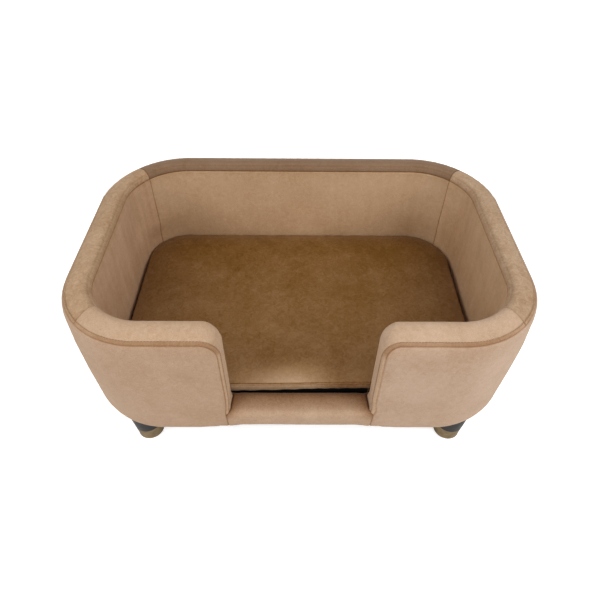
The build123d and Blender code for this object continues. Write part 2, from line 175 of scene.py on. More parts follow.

# Painted light on the cushion's velvet: sheen on its front edge by x, and painted shade on its top
# by y, darker towards the back
GLEAM_AT = (-0.1, -0.065, -0.035, 0.0, 0.025, 0.06)
GLEAM = (0.4, 0.95, 1.35, 1.35, 0.75, 0.15)
TOP_TONE_AT = (-0.19, -0.05, 0.05, 0.19)
TOP_TONE = (0.06, -0.01, -0.09, -0.31)

# Legs
TIP_FOOT = 0.0214
TIP_ROLL = 0.0013
EASE = 0.0008

# Velvet textures, in noise cells a metre
BRUSHED = 13.0
MOTTLE = 120.0
PILE = 900.0

MIRROR = np.array((-1.0, 1.0, 1.0))
QUARTER = math.pi / 2
EIGHTH = math.pi / 4

BACK_X = HALF_WIDTH - BACK_RADIUS
BACK_Y = HALF_DEPTH - BACK_RADIUS
FRONT_X = HALF_WIDTH - FRONT_RADIUS
FRONT_Y = FRONT_RADIUS - HALF_DEPTH
S_BACK = BACK_X
S_SIDE = S_BACK + BACK_RADIUS * QUARTER
S_CORNER = S_SIDE + BACK_Y - FRONT_Y
S_FRONT = S_CORNER + FRONT_RADIUS * QUARTER
BACK_MITRE = S_BACK + BACK_RADIUS * EIGHTH
FRONT_MITRE = S_CORNER + FRONT_RADIUS * EIGHTH
ARC_X = ENTRANCE + TOP_ARC
ARC_Z = HEIGHT - TOP_ARC
SILL_X = ENTRANCE - SILL_ARC
SILL_Z = SILL + SILL_ARC
S_ARC = S_FRONT + FRONT_X - ARC_X
CORNER_X = SILL_X + (SILL_ARC + RIM) * math.sin(EIGHTH)
CORNER_Z = SILL_Z - (SILL_ARC + RIM) * math.cos(EIGHTH)


def places(length, step=STEP, near_start=True, near_end=True):
    """Places from 0 to a length, close together near the chosen ends."""
    at, found = 0.0, [0.0]
    while at < length:
        reach = length
        if near_start:
            reach = min(reach, at)
        if near_end:
            reach = min(reach, max(length - at, 0.0))
        at += min(step, FINE + GROWTH * max(0.0, reach - FINE_ZONE))
        found.append(at)
    return np.array(found) * (length / found[-1])


def plan(s):
    """Point and outward normal of the wall's outer line, by distance from the middle of the back."""
    side = np.where(s < 0, -1.0, 1.0)
    s = np.abs(s)
    back = np.clip((s - S_BACK) / BACK_RADIUS, 0, QUARTER)
    front = np.clip((s - S_CORNER) / FRONT_RADIUS, 0, QUARTER)
    behind = s < S_SIDE
    x = np.where(
        behind,
        np.minimum(s, S_BACK) + BACK_RADIUS * np.sin(back),
        FRONT_X + FRONT_RADIUS * np.cos(front) - np.maximum(s - S_FRONT, 0),
    )
    y = np.where(
        behind,
        BACK_Y + BACK_RADIUS * np.cos(back),
        FRONT_Y + np.maximum(S_CORNER - s, 0) - FRONT_RADIUS * np.sin(front),
    )
    turn = back + front
    return side * x, y, side * np.sin(turn), np.cos(turn)


def wall_point(s, depth, z):
    """Points of the wall by distance along it, depth behind its outer face and height."""
    s, depth, z = np.broadcast_arrays(s, depth, z)
    x, y, nx, ny = plan(s)
    return np.stack([x - depth * nx, y - depth * ny, z], axis=-1)


def round_off(inset):
    """How far the rounded rim lies behind the flat face, by distance from its edge."""
    reach = np.clip(RIM - inset, 0, RIM)
    return RIM - np.sqrt(RIM**2 - reach**2)


def edge_inset(x, z):
    """Distance of a point of the front wall from the edge of its top, entrance and sill."""
    found = np.minimum(HEIGHT - z, x - ENTRANCE)
    corner = TOP_ARC - np.hypot(ARC_X - x, z - ARC_Z)
    found = np.where((x < ARC_X) & (z > ARC_Z), corner, found)
    low = np.hypot(x - SILL_X, z - SILL_Z) - SILL_ARC
    return np.where(z < SILL_Z, low, found)


def seam_slope(jamb):
    """How much the seam beside the entrance leans on its way down to the sill's corner."""
    return (CORNER_X - ENTRANCE - jamb) / (SILL_Z - CORNER_Z)


def seam_x(z, low, jamb):
    """Where the seam beside the entrance lies at a height, down to the piece's lower end."""
    above = ENTRANCE + jamb + seam_slope(jamb) * np.clip(SILL_Z - z, 0, SILL_Z - CORNER_Z)
    below = np.clip((CORNER_Z - z) / (CORNER_Z - low), 0, 1)
    return above + below * (SILL_END - CORNER_X)


def arc_seam(turn, jamb, start=SEAM):
    """Distance of the seam from the edge, round the top corner of the entrance."""
    return start + (jamb - start) * np.sin(turn) ** 2


def across(share, outer, inner):
    """Depth and distance from the edge on the band, by a share of its width between its seams."""
    angle = np.arccos((RIM - outer) / RIM)
    curve = RIM * angle
    flat = WALL - 2 * RIM
    reach = share * (curve + flat + RIM * np.arccos((RIM - inner) / RIM))
    first = np.clip(angle - reach / RIM, 0, None)
    last = np.clip((reach - curve - flat) / RIM, 0, None)
    depth = RIM - RIM * np.sin(first) + np.clip(reach - curve, 0, flat) + RIM * np.sin(last)
    inset = 2 * RIM - RIM * np.cos(first) - RIM * np.cos(last)
    return depth, inset


BAND_TURN = math.acos((RIM - SEAM) / RIM) + math.acos((RIM - INNER_SEAM) / RIM)
BAND_WIDTH = RIM * BAND_TURN + WALL - 2 * RIM
BAND_SHARES = places(BAND_WIDTH, BAND_STEP) / BAND_WIDTH


def foot_rows():
    """Depth and height of the turned-under edge and the rounded foot."""
    flat = np.linspace(TURN_UNDER, FOOT, 4)[:-1]
    turn = np.linspace(0, QUARTER, 13)
    depth = np.concatenate([flat, FOOT - FOOT * np.sin(turn)])
    height = np.concatenate([flat * 0, FOOT - FOOT * np.cos(turn)]) + UNDER
    return depth, height


def lean(x, jamb):
    """How far a column near the entrance follows the seam beside it, from 0 to 1."""
    return np.clip(1 - (x - ENTRANCE - jamb) / TOP_ARC, 0, 1)


def face_grid(s, top, inner, low, jamb):
    """Grid of one face of the wall from a low level up to the seam under the rim."""
    reach = HEIGHT - SEAM - low
    rise = 1 - places(reach, near_end=False)[::-1] / reach
    z = low + (top[:, None] - low) * rise[None, :]
    at_front = (s > S_FRONT)[:, None]
    x = FRONT_X + S_FRONT - s[:, None]
    x = x + lean(x, jamb) * at_front * (seam_x(z, low, jamb) - ENTRANCE - jamb)
    along = np.where(at_front, FRONT_X + S_FRONT - x, s[:, None])
    inset = np.where(at_front, edge_inset(x, z), HEIGHT - z)
    depth = round_off(inset)
    return wall_point(along, WALL - depth if inner else depth, z)


def panel_grid(s, top, inner, jamb=0.0):
    """Grid of a whole panel: the outer ones run down round the foot and under."""
    if inner:
        return face_grid(s, top, True, FLOOR, jamb)
    depth, z = foot_rows()
    shift = lean(FRONT_X + S_FRONT - s, jamb) * (s > S_FRONT)
    along = s - shift * (SILL_END - ENTRANCE - jamb)
    foot = wall_point(along[:, None], depth[None, :], z[None, :])
    return np.concatenate([foot[:, :-1], face_grid(s, top, False, UNDER + FOOT, jamb)], axis=1)


def side_columns(jamb, seam):
    """Places of the columns of a side panel and the level of its top seam at each."""
    straight = BACK_MITRE + places(S_ARC - BACK_MITRE, near_end=False)
    turn = np.linspace(0, QUARTER, 22)[1:]
    reach = TOP_ARC - arc_seam(turn, jamb, seam)
    s = np.concatenate([straight, S_ARC + reach * np.sin(turn)])
    top = np.concatenate([straight * 0 + HEIGHT - seam, ARC_Z + reach * np.cos(turn)])
    return s, top


def band_grid(s):
    """Grid of a stretch of band along the rim."""
    depth, inset = across(BAND_SHARES, SEAM, INNER_SEAM)
    return wall_point(s[:, None], depth[None, :], (HEIGHT - inset)[None, :])


def band_entrance(jamb):
    """Grid of the band round the top corner of the entrance and down its side to the sill."""
    columns = []
    for turn in np.linspace(0, QUARTER, 24)[1:]:
        depth, inset = across(BAND_SHARES, arc_seam(turn, jamb), arc_seam(turn, jamb, INNER_SEAM))
        reach = TOP_ARC - inset
        y = depth - HALF_DEPTH
        columns.append((ARC_X - reach * np.sin(turn), y, ARC_Z + reach * np.cos(turn)))
    drop = places(ARC_Z - SILL_Z, near_start=False)
    for level in ARC_Z - drop[1:]:
        columns.append((ENTRANCE + inset, y, inset * 0 + level))
    for turn in np.linspace(0, EIGHTH, 9)[1:]:
        slant = math.cos(turn) - seam_slope(jamb) * math.sin(turn)
        seam = min((SILL_ARC + jamb) / slant - SILL_ARC, RIM)
        depth, inset = across(BAND_SHARES, seam, seam)
        x = SILL_X + (SILL_ARC + inset) * math.cos(turn)
        z = SILL_Z - (SILL_ARC + inset) * math.sin(turn)
        columns.append((x, depth - HALF_DEPTH, z))
    return np.stack([np.stack(column, axis=-1) for column in columns])


def sill_edge(share, inset):
    """Points at a distance below the sill's edge, which turns up at both ends."""
    reach = np.abs(share) * (SILL_X + (SILL_ARC + inset) * EIGHTH)
    turn = np.clip((reach - SILL_X) / (SILL_ARC + inset), 0, None)
    x = np.minimum(reach, SILL_X) + (SILL_ARC + inset) * np.sin(turn)
    return np.sign(share) * x, SILL_Z - (SILL_ARC + inset) * np.cos(turn)


def sill_face(shares, depth, low, inner):
    """Rows of the sill's front or inner face, from a low level up round its rounded edge."""
    flat = shares * 0
    face = []
    x, z = sill_edge(shares, RIM)
    for k in np.linspace(0, 1, 9)[:-1]:
        face.append((k * x + (1 - k) * shares * SILL_END, flat + depth, k * z + (1 - k) * low))
    for turn in np.linspace(QUARTER, 0, 13):
        inset = RIM - RIM * math.sin(QUARTER - turn)
        behind = RIM - RIM * math.cos(QUARTER - turn)
        x, z = sill_edge(shares, inset)
        face.append((x, flat + (WALL - behind if inner else behind), z))
    return face


def sill_grid():
    """Grid of the sill piece, from under the front over the sill to the floor inside."""
    shares = places(2 * SILL_END) / SILL_END - 1
    flat = shares * 0
    rows = [(shares * SILL_END, flat + depth, flat + z) for depth, z in zip(*foot_rows())]
    rows += sill_face(shares, 0.0, UNDER + FOOT, False)[1:]
    x, z = sill_edge(shares, 0.0)
    rows += [(x, flat + depth, z) for depth in np.linspace(RIM, WALL - RIM, 9)[1:-1]]
    rows += sill_face(shares, WALL, FLOOR, True)[::-1]
    return np.stack([np.stack([x, y - HALF_DEPTH, z], axis=-1) for x, y, z in rows], axis=1)


def grids():
    """The exact outer surface of every sewn piece, before it is shaped."""
    found = {}
    back = places(2 * BACK_MITRE) - BACK_MITRE
    level = back * 0 + HEIGHT
    found["outer_panel_back"] = panel_grid(back, level - SEAM, False)
    found["inner_panel_back"] = panel_grid(back, level - INNER_SEAM, True)
    found["band_back"] = band_grid(back)
    for side, jamb in JAMB_SEAM.items():
        made = {
            "outer_panel": panel_grid(*side_columns(jamb, SEAM), False, jamb),
            "inner_panel": panel_grid(*side_columns(jamb, INNER_SEAM), True, jamb),
            "band": band_grid(BACK_MITRE + places(FRONT_MITRE - BACK_MITRE)),
            "band_front": np.concatenate([
                band_grid(FRONT_MITRE + places(S_ARC - FRONT_MITRE, near_end=False)),
                band_entrance(jamb),
            ]),
        }
        for name, grid in made.items():
            found[f"{name}_{side}"] = grid * MIRROR if side == "left" else grid
    found["sill_panel"] = sill_grid()
    return {name: corner_raised(grid) for name, grid in found.items()}


def peak(distance, width):
    """1 on a line, easing off to 0 within about twice a width."""
    return np.exp(-((distance / width) ** 2))


def corner_raised(grid):
    """Lifts and spreads the place where the sill's ends meet the band, more so on the right."""
    right = grid[..., 0] > 0
    width, height = np.abs(grid[..., 0]) - CORNER_X, grid[..., 2] - CORNER_Z
    near = peak(grid[..., 1] + HALF_DEPTH, 0.026)
    lift = near * peak(width, 0.017) * peak(height, 0.015)
    spread = near * peak(width, 0.02) * peak(height - 0.008, 0.022)
    moved = grid.copy()
    moved[..., 0] += spread * np.where(right, 0.003, -0.0024)
    moved[..., 2] += lift * np.where(right, 0.0042, 0.0028)
    return moved


def grid_normals(grid, outward):
    """Unit normals of a grid, on the side of a rough outward direction at its middle."""
    along = np.gradient(grid, axis=0)
    over = np.gradient(grid, axis=1)
    normal = np.cross(along, over)
    normal /= np.maximum(np.linalg.norm(normal, axis=-1, keepdims=True), 1e-12)
    middle = normal[grid.shape[0] // 2, grid.shape[1] // 2]
    return normal if np.dot(middle, outward) > 0 else -normal


def quads_of(index):
    """Faces between the rows and columns of a grid of point numbers."""
    corners = (index[:-1, :-1], index[1:, :-1], index[1:, 1:], index[:-1, 1:])
    return np.stack(corners, axis=-1).reshape(-1, 4)


def closed_rings(first, rings, sides):
    """Point numbers of rings of points, with the first of each ring again at its end."""
    index = first + np.arange(rings * sides).reshape(rings, sides)
    return np.concatenate([index, index[:, :1]], axis=1)


def slab(name, front, back):
    """A closed piece between two grids of the same size."""
    rows, columns = front.shape[:2]
    count = rows * columns
    index = np.arange(count).reshape(rows, columns)
    quads = quads_of(index)
    loop = np.concatenate([index[0, :-1], index[:-1, -1], index[-1, :0:-1], index[:0:-1, 0]])
    after = np.roll(loop, -1)
    rim = np.stack([loop, after, after + count, loop + count], axis=-1)
    vertices = np.concatenate([front.reshape(-1, 3), back.reshape(-1, 3)])
    faces = np.concatenate([quads, quads[:, ::-1] + count, rim])
    p = vertices[faces]
    volume = np.einsum("ij,ij->i", p[:, 0], np.cross(p[:, 1], p[:, 2])).sum()
    volume += np.einsum("ij,ij->i", p[:, 0], np.cross(p[:, 2], p[:, 3])).sum()
    return mesh_object(name, vertices, faces if volume > 0 else faces[:, ::-1])


def linked(name, data):
    """A new object in the scene, from its data."""
    made = bpy.data.objects.new(name, data)
    bpy.context.scene.collection.objects.link(made)
    return made


def mesh_object(name, vertices, faces, sharp=50):
    """A smooth shaded object from points and faces."""
    mesh = bpy.data.meshes.new(name)
    mesh.from_pydata(np.asarray(vertices).tolist(), [], [list(map(int, f)) for f in faces])
    mesh.update()
    mesh.polygons.foreach_set("use_smooth", [True] * len(mesh.polygons))
    mesh.set_sharp_from_angle(angle=math.radians(sharp))
    return linked(name, mesh)


def lengths(line):
    """Distance along a line at each of its points."""
    steps = np.linalg.norm(np.diff(line, axis=0), axis=1)
    return np.concatenate([[0], np.cumsum(steps)])


def resampled(line, step):
    """A line of points spaced evenly, with the distance along it."""
    length = lengths(line)
    at = np.linspace(0, length[-1], max(2, int(length[-1] / step) + 1))
    return np.stack([np.interp(at, length, line[:, k]) for k in range(3)], axis=-1), at


def search_tree(spots):
    """A tree for finding the nearest of some points."""
    tree = kdtree.KDTree(len(spots))
    for k, spot in enumerate(spots.tolist()):
        tree.insert(spot, k)
    tree.balance()
    return tree


def nearest(points, lines):
    """Distance from each point to the nearest of some lines, and the place along it."""
    found = [resampled(line, LINE_STEP) for line in lines]
    along = np.concatenate([at for spots, at in found])
    tree = search_tree(np.concatenate([spots for spots, at in found]))
    hits = [tree.find(point)[1:] for point in points.reshape(-1, 3).tolist()]
    index = np.array([hit[0] for hit in hits])
    distance = np.array([hit[1] for hit in hits])
    shape = points.shape[:-1]
    return distance.reshape(shape), along[index].reshape(shape)


def seam_lines(found):
    """Every line along which two pieces are sewn together."""
    lines = []
    for name, grid in found.items():
        if name.startswith("band"):
            lines += [grid[:, 0], grid[:, -1], grid[0], grid[-1]]
        elif name.startswith(("outer_panel", "inner_panel")):
            lines += [grid[0], grid[-1]]
    return lines


def stitch_lines(found):
    """The lines of topstitching beside the two long seams of each piece of band."""
    shares = {"outer": OUTER_STITCH / BAND_WIDTH, "inner": 1 - INNER_STITCH / BAND_WIDTH}
    lines = {}
    for name, grid in found.items():
        if name.startswith("band"):
            lines[name] = {}
            for label, share in shares.items():
                position = np.interp(share, BAND_SHARES, np.arange(len(BAND_SHARES)))
                low = int(position)
                part = position - low
                lines[name][label] = grid[:, low] * (1 - part) + grid[:, low + 1] * part
    return lines


def wobble(points, scale, seed):
    """Smooth noise of about -1 to 1 at each point."""
    shift = Vector((seed * 3.1, seed * 5.7, seed * 1.3))
    flat = [noise.noise(Vector(p) * scale + shift) for p in points.reshape(-1, 3).tolist()]
    return np.array(flat).reshape(points.shape[:-1])


def smooth(value):
    """Eases a share between 0 and 1."""
    value = np.clip(value, 0, 1)
    return value * value * (3 - 2 * value)


def rim_share(grid):
    """1 at the rim, easing to 0 round the top corner of the entrance and down its side."""
    x, z = np.abs(grid[..., 0]), grid[..., 2]
    turn = np.arctan2(ARC_X - x, z - ARC_Z)
    near_entrance = (turn > 0) & (grid[..., 1] < 0)
    high = np.where(near_entrance, np.cos(np.minimum(turn, QUARTER)) ** 2, 1.0)
    outside = smooth((x - ARC_X + 0.008) / 0.008) * near_entrance
    return high + (1 - high) * outside


def sill_fullness(grid):
    """Swelling of the sill piece: full at the back of its top, drawn in low at the front."""
    y, z = grid[..., 1] + HALF_DEPTH, grid[..., 2]
    middle = smooth((SILL_END - np.abs(grid[..., 0])) / 0.025)
    full = smooth((y - 0.012) / 0.016) * smooth((z - 0.1) / 0.012)
    drawn_in = smooth((0.12 - z) / 0.04) * smooth((0.015 - y) / 0.015)
    return (0.0017 * full - 0.0024 * drawn_in) * middle


def fullness(name, grid, rims):
    """Slow swelling of the padding: soft outer edge, full inner edge, cushion pressed in."""
    if name == "sill_panel":
        return sill_fullness(grid)
    high = rim_share(grid)
    jamb_swell = JAMB_SWELL["left" if name.endswith("left") else "right"]
    if name.startswith("band"):
        share = np.broadcast_to(BAND_SHARES * BAND_WIDTH, grid.shape[:2])
        rim = np.interp(share, RIM_AT, RIM_SWELL)
        if "front" in name:
            rim = rim + np.interp(share, RIM_AT, FRONT_SWELL)
        return high * rim + (1 - high) * np.interp(share, RIM_AT, jamb_swell)
    reach = nearest(grid, rims)[0]
    place = "back" if name.endswith("back") else "side"
    if name.startswith("outer"):
        most = OUTER_FULL[place]
        depths = (RIM_SWELL[0], -0.0020, -0.0006, 0.0002, most, most, 0.0)
        near = np.interp(reach, OUTER_AT, depths)
        return high * near + (1 - high) * jamb_swell[0] * np.exp(-reach / 0.008)
    swell = high * np.interp(reach, INNER_AT, (RIM_SWELL[-1], *INNER_FULL[place], 0.0003))
    pressed = np.maximum(0, 0.002 - cushion_distance(grid[..., 0], grid[..., 1]))
    fade = smooth((0.185 - grid[..., 2]) / 0.045)
    return swell * (1 - fade * smooth(pressed / 0.002)) - pressed * fade


def band_shade(name, grid, row):
    """Tone of a piece of band: painted shade in the stitching grooves, and a darker strip outside
    the stitching that is partly painted shade and partly pile lying the other way.
    """
    share = np.broadcast_to(BAND_SHARES * BAND_WIDTH, grid.shape[:2])
    # Painted shade in the stitching grooves.
    shade = 1 - np.where(share < BAND_WIDTH / 2, *STITCH_DARK) * peak(row, GROOVE)
    # The strip outside the outer stitching: partly painted shade, partly pile; darkest on the front
    # band's middle, lighter away from the seam.
    strip = smooth((OUTER_STITCH - share) / 0.0012) * smooth(share / 0.001)
    middle = smooth((0.33 - np.abs(grid[..., 0])) / 0.08) * smooth((grid[..., 2] - ARC_Z) / 0.01)
    fade = 1 - 0.45 * share / OUTER_STITCH
    at_front = FRONT_STRIP_DARK * middle * fade * name.startswith("band_front")
    shade *= 1 - (STRIP_DARK + at_front) * strip
    return shade * (1 - 0.03 * smooth((share - BAND_WIDTH + INNER_STITCH) / 0.0012))


def inner_shade(name, grid, rims):
    """Tone of an inner panel: painted shade low down and along the rim, with upright streaks of the
    pile.
    """
    # Painted shade: darker low down towards the cushion and just under the rim.
    shade = 0.88 + 0.15 * smooth((grid[..., 2] - 0.11) / 0.16)
    shade *= 1 - 0.10 * np.exp(-nearest(grid, rims)[0] / 0.007)
    drawn = grid * np.array([90.0, 90.0, 6.0]) + np.array([0.0, 0.0, 4.0])
    streak = wobble(drawn, 1.0, 5) + 0.6 * wobble(drawn, 2.3, 9)
    return shade * (1 + STREAKS["back" if name.endswith("back") else "side"] * streak)


def sill_shade(grid, distance):
    """Tone of the sill: painted shade towards the inside of its top and in the creases at its ends.
    """
    # Painted shade across the top and in the end creases.
    up = smooth((grid[..., 2] - 0.095) / 0.02)
    over = (grid[..., 1] + HALF_DEPTH) / WALL
    shade = 1 - up * np.interp(over, SILL_TONE_AT, SILL_TONE)
    return shade * (1 - 0.5 * up * np.exp(-distance / 0.009))


def painted_light_and_pile(name, grid, distance, row, rims):
    """Tone of a piece of the wall: painted shade along the seams, then the painted light and shade
    and pile marks of each kind of piece.
    """
    x, z = grid[..., 0], grid[..., 2]
    # Painted shade in the seam grooves, with a wider faint painted shade beside them; fainter on the
    # right jamb.
    faint = (np.abs(x - 0.115) < 0.012) & (z < ARC_Z) & (z > CORNER_Z)
    groove = np.where(faint, JAMB_DARK, SEAM_DARK)
    shade = 1 - groove * peak(distance, GROOVE) - 0.04 * np.exp(-distance / 0.004)
    if name.startswith("band"):
        return shade * band_shade(name, grid, row)
    if name.startswith("inner"):
        return shade * inner_shade(name, grid, rims)
    if name == "sill_panel":
        return shade * sill_shade(grid, distance)
    # Painted sheen: the outer panels lighter towards their front corners, more on the right.
    corner = smooth((np.abs(x) - 0.215) / 0.11) * smooth(-grid[..., 1] / 0.06)
    return shade * (1 + PAINTED_CORNER_SHEEN["right" if name.endswith("right") else "left"] * corner)


def shaped(name, grid, outward, seams, rims, stitches):
    """Pushes a piece's grid out and in: padding, seam grooves, gathers and soft waves."""
    normal = grid_normals(grid, outward)
    distance, along = nearest(grid, seams)
    pull = fullness(name, grid, rims) - SEAM_DIP * peak(distance, SEAM_WIDTH)
    gather = np.exp(-distance / GATHER_REACH) * (1 - np.exp(-distance / GATHER_START))
    pull += GATHER * gather * np.sin(along * 410 + 3 * np.sin(along * 37))
    pull += SLOW_WAVE * wobble(grid, 17.0, 3) * smooth(distance / 0.02)
    pull += FINE_WAVE * wobble(grid, 90.0, 7)
    row = None
    if stitches:
        row, place = nearest(grid, list(stitches.values()))
        ripple = 0.8 + 0.2 * np.cos(place * STITCH_RIPPLE)
        pull -= STITCH_DIP * peak(row, STITCH_WIDTH) * ripple
    shade = painted_light_and_pile(name, grid, distance, row, rims)
    front = grid + normal * pull[..., None]
    back = grid - normal * (PAD - np.minimum(pull, 0))[..., None]
    made = slab("velvet_" + name, front, back)
    set_shade(made, np.concatenate([shade.ravel(), shade.ravel()]))
    return made


def set_shade(made, shade):
    """Stores the painted light and shade at every point, with the pile's own marks, for the velvet
    to read.
    """
    attribute = made.data.attributes.new("shade", "FLOAT", "POINT")
    attribute.data.foreach_set("value", shade.astype(np.float32))


def new_material(name):
    """A material with a principled shader and nothing else."""
    material = bpy.data.materials.new(name)
    material.use_nodes = True
    tree = material.node_tree
    tree.nodes.clear()
    output = tree.nodes.new("ShaderNodeOutputMaterial")
    shader = tree.nodes.new("ShaderNodeBsdfPrincipled")
    tree.links.new(shader.outputs["BSDF"], output.inputs["Surface"])
    return material, tree, shader


def add(tree, kind, inputs=(), **settings):
    """Adds a node, sets its properties, and links or sets its inputs."""
    made = tree.nodes.new(kind)
    for key, value in settings.items():
        setattr(made, key, value)
    for key, value in dict(inputs).items():
        if isinstance(value, bpy.types.NodeSocket):
            tree.links.new(value, made.inputs[key])
        else:
            made.inputs[key].default_value = value
    return made


def linear(colour):
    """Screen colour of 0 to 255 as linear light."""
    found = []
    for part in colour:
        share = part / 255
        found.append(share / 12.92 if share <= 0.04045 else ((share + 0.055) / 1.055) ** 2.4)
    return (*found, 1.0)


def mixed(tree, factor, a, b, blend="MIX"):
    """Colour output of a mix node."""
    inputs = {0: factor, 6: a, 7: b}
    return add(tree, "ShaderNodeMix", inputs, data_type="RGBA", blend_type=blend).outputs[2]


def noise_node(tree, where, scale, detail=3.0, roughness=0.5, distortion=0.0):
    """Value output of a noise texture."""
    made = add(tree, "ShaderNodeTexNoise", {
        "Vector": where, "Scale": scale, "Detail": detail, "Roughness": roughness,
        "Distortion": distortion,
    })
    return made.outputs["Fac"]


def ranged(tree, value, to_low, to_high, low=0.3, high=0.7):
    """A value moved to another range from its own, for which a noise's usual one is taken."""
    made = add(tree, "ShaderNodeMapRange", {
        "Value": value, "From Min": low, "From Max": high, "To Min": to_low, "To Max": to_high,
    })
    return made.outputs["Result"]


def calc(tree, a, b, operation="ADD"):
    """Output of a math node."""
    return add(tree, "ShaderNodeMath", {0: a, 1: b}, operation=operation).outputs[0]


def scaled(colour, share):
    """A colour with its light scaled, up to full light."""
    return (*(min(1.0, part * share) for part in colour[:3]), 1.0)


def object_place(tree, stretch=None):
    """Coordinates on the object itself, scaled along its axes where a stretch is given."""
    where = add(tree, "ShaderNodeTexCoord").outputs["Object"]
    if stretch is None:
        return where
    return add(tree, "ShaderNodeMapping", {"Vector": where, "Scale": stretch}).outputs["Vector"]


def surface(tree, shader, tone, rough, height, strength, distance):
    """Gives a shader its colour, roughness and fine relief."""
    tree.links.new(tone, shader.inputs["Base Color"])
    tree.links.new(rough, shader.inputs["Roughness"])
    bump = add(tree, "ShaderNodeBump", {
        "Strength": strength, "Distance": distance, "Height": height,
    })
    tree.links.new(bump.outputs["Normal"], shader.inputs["Normal"])


def velvet(name, colour, patch=0.08, fleck=0.12, swirl=0.6, depth=(1.0, 1.4, 1.9),
           gleam=(1.0, 1.3, 1.7)):
    """Short pile velvet whose tone follows the shade attribute, painted light and shade with the
    pile's own marks, plus random pile noise: darker turns richer in colour, lighter (painted sheen)
    paler.
    """
    material, tree, shader = new_material(name)
    where = object_place(tree)
    brushed = noise_node(tree, where, BRUSHED, 3.0, 0.55, 0.5)
    mottle = noise_node(tree, where, MOTTLE, 4.0, 0.7, swirl)
    pile = noise_node(tree, where, PILE, 2.0, 0.7)
    pile_and_light = add(tree, "ShaderNodeAttribute", attribute_name="shade").outputs["Fac"]
    for texture, reach in ((brushed, patch), (mottle, fleck), (pile, 0.10)):
        pile_and_light = calc(tree, pile_and_light, ranged(tree, texture, -reach, reach))
    pile_and_light = calc(tree, pile_and_light, 0.05, "MAXIMUM")
    # Below 1 is painted shade, above 1 painted sheen; the noise adds the pile's own marks.
    away = calc(tree, pile_and_light, 1.0, "MINIMUM")
    towards = calc(tree, pile_and_light, 1.0, "MAXIMUM")
    parts = add(tree, "ShaderNodeCombineColor")
    for channel, dark, light in zip(("Red", "Green", "Blue"), depth, gleam):
        darkened_tint = calc(tree, away, dark, "POWER")
        lightened_tint = calc(tree, towards, light, "POWER")
        tree.links.new(calc(tree, darkened_tint, lightened_tint, "MULTIPLY"), parts.inputs[channel])
    tone = mixed(tree, 1.0, parts.outputs[0], linear(colour), "MULTIPLY")
    tree.links.new(tone, shader.inputs["Base Color"])
    tree.links.new(ranged(tree, mottle, 0.82, 0.96), shader.inputs["Roughness"])
    shader.inputs["Specular IOR Level"].default_value = 0.18
    shader.inputs["Sheen Weight"].default_value = 0.25
    shader.inputs["Sheen Roughness"].default_value = 0.42
    shader.inputs["Sheen Tint"].default_value = linear((236, 214, 190))
    fine = add(tree, "ShaderNodeBump", {"Strength": 0.32, "Distance": 0.0004, "Height": pile})
    soft = add(tree, "ShaderNodeBump", {
        "Strength": 0.25, "Distance": 0.0012, "Height": mottle, "Normal": fine.outputs["Normal"],
    })
    tree.links.new(soft.outputs["Normal"], shader.inputs["Normal"])
    return material


def plain_cloth(name, colour, thread=0.0006):
    """Thin woven or bonded cloth with a fine crossed weave."""
    material, tree, shader = new_material(name)
    where = object_place(tree)
    base = linear(colour)
    weave = add(tree, "ShaderNodeTexVoronoi", {"Vector": where, "Scale": 1 / thread})
    cloud = noise_node(tree, where, 60.0, 4.0)
    tone = mixed(tree, ranged(tree, cloud, 0.0, 0.5), base, scaled(base, 0.7))
    rough = ranged(tree, cloud, 0.8, 0.95)
    surface(tree, shader, tone, rough, weave.outputs["Distance"], 0.4, 0.0003)
    shader.inputs["Specular IOR Level"].default_value = 0.08
    return material


def wood(name, colour, ring=55.0, stretch=(1.0, 1.0, 0.12)):
    """Timber or board with grain drawn along one axis."""
    material, tree, shader = new_material(name)
    drawn = object_place(tree, stretch)
    base = linear(colour)
    grain = noise_node(tree, drawn, ring, 5.0, 0.6, 1.2)
    pores = noise_node(tree, drawn, ring * 16, 3.0, 0.6)
    tone = mixed(tree, ranged(tree, grain, 0.0, 1.0), scaled(base, 0.72), base)
    tone = mixed(tree, ranged(tree, pores, 0.0, 0.4, 0.45, 0.75), tone, scaled(base, 0.5))
    surface(tree, shader, tone, ranged(tree, pores, 0.5, 0.75), pores, 0.2, 0.0004)
    return material


def metal(name, colour):
    """Metal with fine brushing and darker tarnish in patches."""
    material, tree, shader = new_material(name)
    base = linear(colour)
    patches = noise_node(tree, object_place(tree), 70.0, 4.0, 0.6)
    lines = noise_node(tree, object_place(tree, (1.0, 1.0, 8.0)), 240.0, 3.0, 0.6)
    tone = mixed(tree, ranged(tree, patches, 0.0, 0.7, 0.35, 0.7), base, scaled(base, 0.55))
    surface(tree, shader, tone, ranged(tree, lines, 0.25, 0.45), lines, 0.12, 0.0002)
    shader.inputs["Metallic"].default_value = 1.0
    return material


def lacquer(name, colour):
    """Satin paint over wood, with faint grain and lighter, rubbed patches."""
    material, tree, shader = new_material(name)
    base = linear(colour)
    grain = noise_node(tree, object_place(tree, (1.0, 1.0, 0.15)), 260.0, 4.0, 0.6)
    dust = noise_node(tree, object_place(tree), 40.0, 4.0, 0.6)
    tone = mixed(tree, ranged(tree, dust, 0.0, 0.5, 0.4, 0.75), base, scaled(base, 1.5))
    surface(tree, shader, tone, ranged(tree, dust, 0.34, 0.5), grain, 0.15, 0.0002)
    shader.inputs["Specular IOR Level"].default_value = 0.3
    return material


def tube_faces(first, rings, sides):
    """Faces of a closed tube of rings of points, from the number of its first point."""
    index = closed_rings(first, rings, sides)
    return [*quads_of(index.T), index[0, :-1][::-1], index[-1, :-1]]


